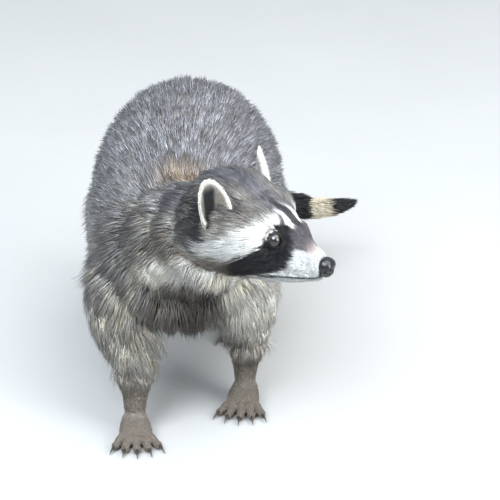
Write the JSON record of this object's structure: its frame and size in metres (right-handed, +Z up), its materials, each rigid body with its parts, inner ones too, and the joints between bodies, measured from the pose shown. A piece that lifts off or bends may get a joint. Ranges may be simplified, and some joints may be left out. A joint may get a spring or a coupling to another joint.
{
  "type": "raccoon",
  "caption": "Life-size still model of an adult raccoon in mid-step, head turned to its left, ringed tail trailing to that side, with a thick grizzled coat and a black mask.",
  "frame": {"origin": "middle of the bottom of the box, on the floor that the paws stand on", "axes": "+Z up, -Y the way the body faces, +X to the animal's own left; the body, from the turned head to the tail, is longest along Y"},
  "size_m": [0.2964, 0.551, 0.3089],
  "materials": {
    "body_coat": "thick grizzled grey-brown coat, darkest along the back",
    "head_coat": "short dense coat, white brow and muzzle, black mask",
    "ear_coat": "short coat with a pale rim",
    "leg_coat": "long shaggy pale grey coat with brown streaks",
    "paw_coat": "very short coat over dark skin",
    "tail_coat": "bushy, in dark and cream rings",
    "eye": "wet dark brown",
    "nose": "moist black, finely pebbled",
    "claw": "dark horn, satin"
  },
  "bodies": {
    "root": {"chest": "body_coat", "claw_forepaw_left_1": "claw", "claw_forepaw_left_2": "claw", "claw_forepaw_left_3": "claw", "claw_forepaw_left_4": "claw", "claw_forepaw_left_5": "claw", "claw_forepaw_right_1": "claw", "claw_forepaw_right_2": "claw", "claw_forepaw_right_3": "claw", "claw_forepaw_right_4": "claw", "claw_forepaw_right_5": "claw", "claw_hindpaw_left_1": "claw", "claw_hindpaw_left_2": "claw", "claw_hindpaw_left_3": "claw", "claw_hindpaw_left_4": "claw", "claw_hindpaw_left_5": "claw", "claw_hindpaw_right_1": "claw", "claw_hindpaw_right_2": "claw", "claw_hindpaw_right_3": "claw", "claw_hindpaw_right_4": "claw", "claw_hindpaw_right_5": "claw", "ear_left": "ear_coat", "ear_right": "ear_coat", "eye_left": "eye", "eye_right": "eye", "forearm_left": "leg_coat", "forearm_right": "leg_coat", "forepaw_left": "paw_coat", "forepaw_right": "paw_coat", "head": "head_coat", "hindpaw_left": "paw_coat", "hindpaw_right": "paw_coat", "loin": "body_coat", "lower_jaw": "head_coat", "neck": "body_coat", "nose": "nose", "rump": "body_coat", "shank_left": "leg_coat", "shank_right": "leg_coat", "shoulder_left": "leg_coat", "shoulder_right": "leg_coat", "tail_base": "tail_coat", "tail_middle": "tail_coat", "tail_tip": "tail_coat", "thigh_left": "leg_coat", "thigh_right": "leg_coat"}
  },
  "joints": []
}
